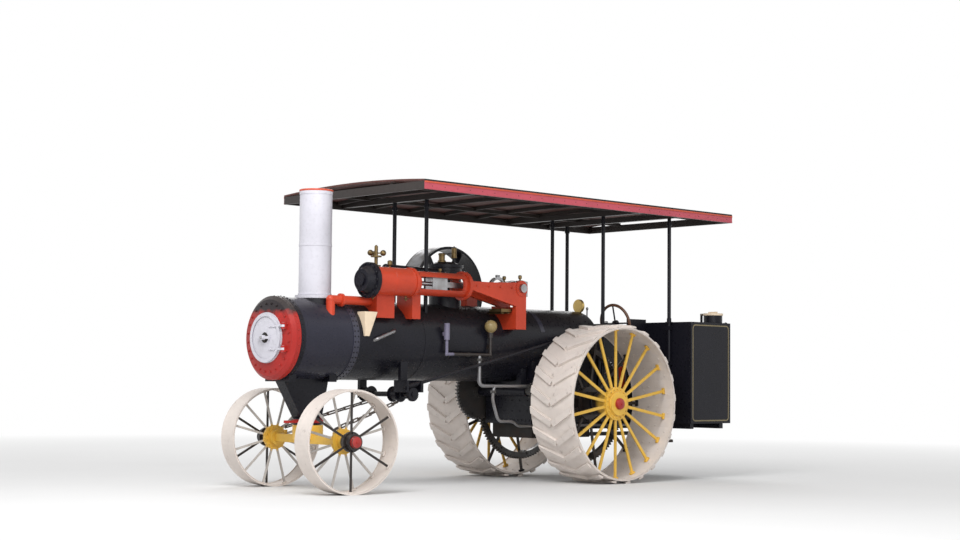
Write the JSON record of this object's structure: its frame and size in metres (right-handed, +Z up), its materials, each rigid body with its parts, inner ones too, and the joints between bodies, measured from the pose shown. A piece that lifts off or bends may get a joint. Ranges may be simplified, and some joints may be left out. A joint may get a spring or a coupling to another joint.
{
  "type": "steam traction engine",
  "caption": "Farm steam traction engine with horizontal boiler, side cylinder and flywheel, cleated rear wheels, chain-steered front axle, rear tank and bunker, and long canopy.",
  "frame": {"origin": "on the ground, under the middle of the machine's length and width", "axes": "+X towards the smokebox and front wheels, +Y towards the machine's left, +Z up"},
  "size_m": [5.9172, 2.252, 3.063],
  "materials": {
    "boiler_black": "gloss",
    "engine_red": "gloss",
    "aluminium_paint": "satin",
    "sooty_iron": "matte",
    "cream_paint": "satin",
    "bright_steel": "satin",
    "brass": "satin",
    "gear_iron": "satin",
    "rim_cream": "matte",
    "wheel_yellow": "satin",
    "chain_iron": "matte",
    "deck_iron": "matte",
    "roof_board": "matte",
    "canopy_red": "satin"
  },
  "bodies": {
    "machine": {"boiler": "boiler_black", "smokebox_ring": "engine_red", "stack": "aluminium_paint", "stack_base": "boiler_black", "steam_dome": "boiler_black", "ash_pan": "sooty_iron", "stub_axles": "boiler_black", "engine_frame": "engine_red", "cylinder": "engine_red", "cylinder_head": "boiler_black", "flank_bracket": "cream_paint", "crosshead": "bright_steel", "connecting_rod": "bright_steel", "valve_gear": "bright_steel", "governor": "brass", "steam_pipe": "boiler_black", "exhaust_pipe": "engine_red", "right_bearing": "engine_red", "gear_train": "gear_iron", "countershaft_tube": "boiler_black", "front_pedestal": "boiler_black", "steering_roller": "boiler_black", "steering_rod": "boiler_black", "steering_chains": "chain_iron", "feed_pump": "boiler_black", "levers": "engine_red", "platform": "deck_iron", "platform_rails": "boiler_black", "side_sheets": "boiler_black", "water_tank": "boiler_black", "coal_bunker": "boiler_black", "drawbar": "boiler_black", "canopy_roof": "roof_board", "canopy_boards": "canopy_red", "canopy_posts": "boiler_black"},
    "rear_wheel_left": {"rear_rim_left": "rim_cream", "rear_spider_left": "wheel_yellow", "bull_gear_left": "gear_iron"},
    "rear_wheel_right": {"rear_rim_right": "rim_cream", "rear_spider_right": "wheel_yellow", "bull_gear_right": "gear_iron"},
    "pinion_shaft_left": {"pinion_left": "gear_iron"},
    "pinion_shaft_right": {"pinion_right": "gear_iron"},
    "front_axle": {"front_axle": "wheel_yellow"},
    "front_wheel_left": {"front_rim_left": "rim_cream", "front_spider_left": "wheel_yellow"},
    "front_wheel_right": {"front_rim_right": "rim_cream", "front_spider_right": "wheel_yellow"},
    "crank": {"crankshaft": "bright_steel", "flywheel": "boiler_black"},
    "smokebox_door": {"smokebox_door": "aluminium_paint"},
    "fire_door": {"fire_door": "sooty_iron"},
    "tank_lid": {"tank_lid": "cream_paint"}
  },
  "joints": [
    {"name": "rear_left_spin", "type": "hinge", "parent": "machine", "child": "rear_wheel_left", "pos_m": [-1.04862, 0.82, 0.85], "axis": [0, 1, 0], "continuous": true},
    {"name": "rear_right_spin", "type": "hinge", "parent": "machine", "child": "rear_wheel_right", "pos_m": [-1.04862, -0.82, 0.85], "axis": [0, 1, 0], "continuous": true},
    {"name": "pinion_left_spin", "type": "hinge", "parent": "machine", "child": "pinion_shaft_left", "pos_m": [-0.32862, 0.48, 0.97192], "axis": [0, 1, 0], "continuous": true},
    {"name": "pinion_right_spin", "type": "hinge", "parent": "machine", "child": "pinion_shaft_right", "pos_m": [-0.32862, -0.48, 0.97192], "axis": [0, 1, 0], "continuous": true},
    {"name": "front_axle_steer", "type": "hinge", "parent": "machine", "child": "front_axle", "pos_m": [2.34638, 0, 0.6], "axis": [0, 0, 1], "range_deg": [-20, 36]},
    {"name": "front_left_spin", "type": "hinge", "parent": "front_axle", "child": "front_wheel_left", "pos_m": [2.45076, 0.7427, 0.495], "axis": [0.1392, 0.9903, 0], "continuous": true},
    {"name": "front_right_spin", "type": "hinge", "parent": "front_axle", "child": "front_wheel_right", "pos_m": [2.242, -0.7427, 0.495], "axis": [0.1392, 0.9903, 0], "continuous": true},
    {"name": "crank_spin", "type": "hinge", "parent": "machine", "child": "crank", "pos_m": [-0.02862, -0.2, 2.06], "axis": [0, 1, 0], "continuous": true},
    {"name": "smokebox_door_swing", "type": "hinge", "parent": "machine", "child": "smokebox_door", "pos_m": [2.87638, 0.281, 1.477], "axis": [0, 0, 1], "range_deg": [0, 110]},
    {"name": "fire_door_swing", "type": "hinge", "parent": "machine", "child": "fire_door", "pos_m": [-1.45562, 0.206, 1.33], "axis": [0, 0, 1], "range_deg": [-100, 0]},
    {"name": "tank_lid_swing", "type": "hinge", "parent": "machine", "child": "tank_lid", "pos_m": [-2.72562, 0.836, 1.8653], "axis": [1, 0, 0], "range_deg": [0, 100]}
  ],
  "couplings": [
    {"joint": "pinion_left_spin", "follows": "rear_left_spin", "ratio": -6.6667},
    {"joint": "pinion_right_spin", "follows": "rear_right_spin", "ratio": -6.6667}
  ]
}
